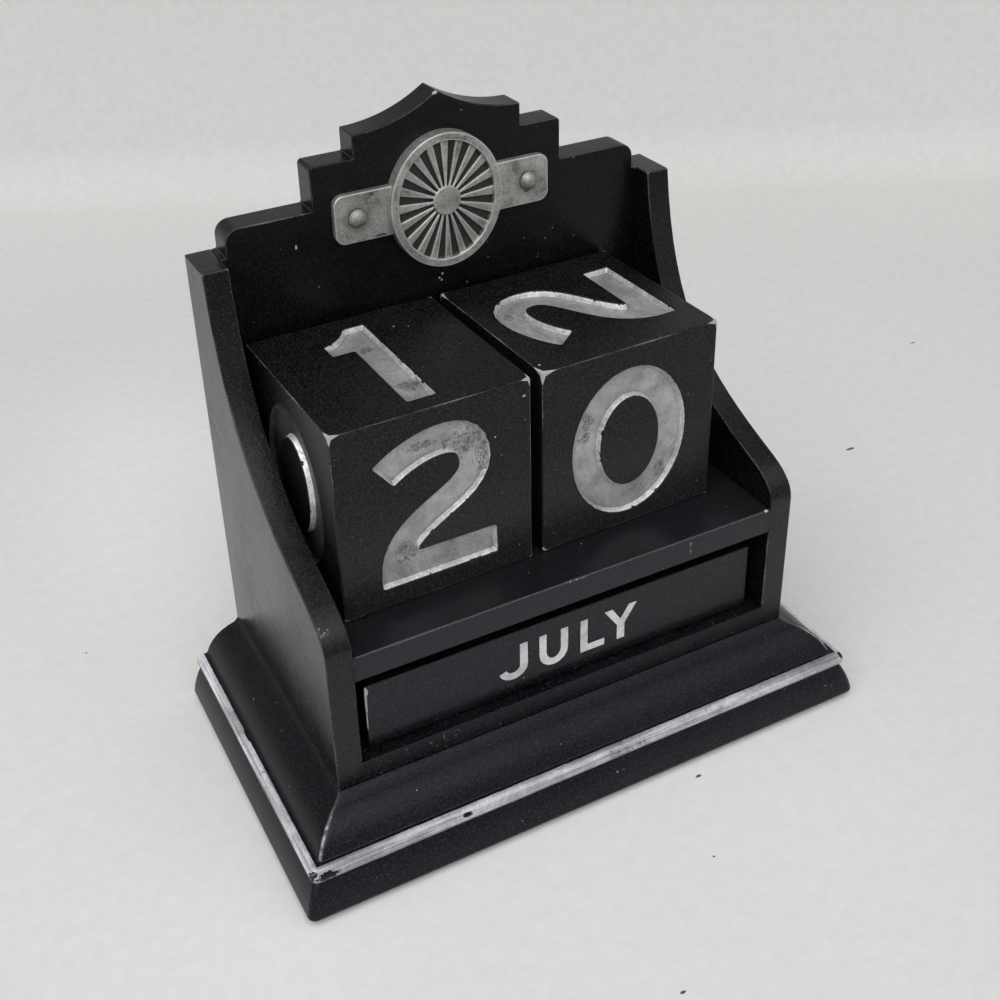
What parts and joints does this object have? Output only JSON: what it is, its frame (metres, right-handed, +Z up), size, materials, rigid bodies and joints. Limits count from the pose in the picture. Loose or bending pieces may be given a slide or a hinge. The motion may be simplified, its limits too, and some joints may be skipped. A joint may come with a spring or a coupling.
{
  "type": "perpetual desk calendar",
  "caption": "Open-fronted painted box on a moulded plinth; loose date cubes stand on its shelf, and loose month bars lie in the compartment below.",
  "frame": {"origin": "on the desk, under the middle of the part's width and depth", "axes": "+Z up, the open front faces -Y, +X to the right as seen from the front"},
  "size_m": [0.1432, 0.0796, 0.1463],
  "materials": {
    "black_paint": "wood under satin charcoal-black paint, rubbed pale at the edges; the plinth's bead and the cubes' sunk digits are picked out in silver paint",
    "pewter": "cast pewter, satin, blackened in its hollows",
    "screw_steel": "zinc-plated steel",
    "dowel_wood": "bare beech",
    "pad_rubber": "matt"
  },
  "bodies": {
    "box": {"plinth": "black_paint", "compartment_floor": "black_paint", "left_cheek": "black_paint", "right_cheek": "black_paint", "back_board": "black_paint", "shelf": "black_paint", "name_plate": "pewter", "plate_rivet_left": "pewter", "plate_rivet_right": "pewter", "cheek_screw_left_front": "screw_steel", "cheek_screw_left_rear": "screw_steel", "cheek_screw_right_front": "screw_steel", "cheek_screw_right_rear": "screw_steel", "shelf_dowel_left_front": "dowel_wood", "shelf_dowel_left_rear": "dowel_wood", "shelf_dowel_right_front": "dowel_wood", "shelf_dowel_right_rear": "dowel_wood", "board_dowel_left_lower": "dowel_wood", "board_dowel_left_upper": "dowel_wood", "board_dowel_right_lower": "dowel_wood", "board_dowel_right_upper": "dowel_wood", "board_foot_dowel_left": "dowel_wood", "board_foot_dowel_right": "dowel_wood", "foot_pad_left_front": "pad_rubber", "foot_pad_left_rear": "pad_rubber", "foot_pad_right_front": "pad_rubber", "foot_pad_right_rear": "pad_rubber"},
    "left_date_cube": {"date_cube_left": "black_paint"},
    "right_date_cube": {"date_cube_right": "black_paint"},
    "front_month_bar": {"month_bar_front": "black_paint"},
    "middle_month_bar": {"month_bar_middle": "black_paint"},
    "rear_month_bar": {"month_bar_rear": "black_paint"}
  },
  "joints": [
    {"name": "left_cube_lift", "type": "slide", "parent": "box", "child": "left_date_cube", "axis": [0, -0.7071, 0.7071], "range_m": [0, 0.082]},
    {"name": "right_cube_lift", "type": "slide", "parent": "box", "child": "right_date_cube", "axis": [0, -0.7071, 0.7071], "range_m": [0, 0.082]},
    {"name": "rear_bar_advance", "type": "slide", "parent": "box", "child": "rear_month_bar", "axis": [0, -1, 0], "range_m": [0, 0.0174]},
    {"name": "middle_bar_advance", "type": "slide", "parent": "rear_month_bar", "child": "middle_month_bar", "axis": [0, -1, 0], "range_m": [0, 0.0174]},
    {"name": "front_bar_draw", "type": "slide", "parent": "middle_month_bar", "child": "front_month_bar", "axis": [0, -1, 0], "range_m": [0, 0.0204]}
  ]
}
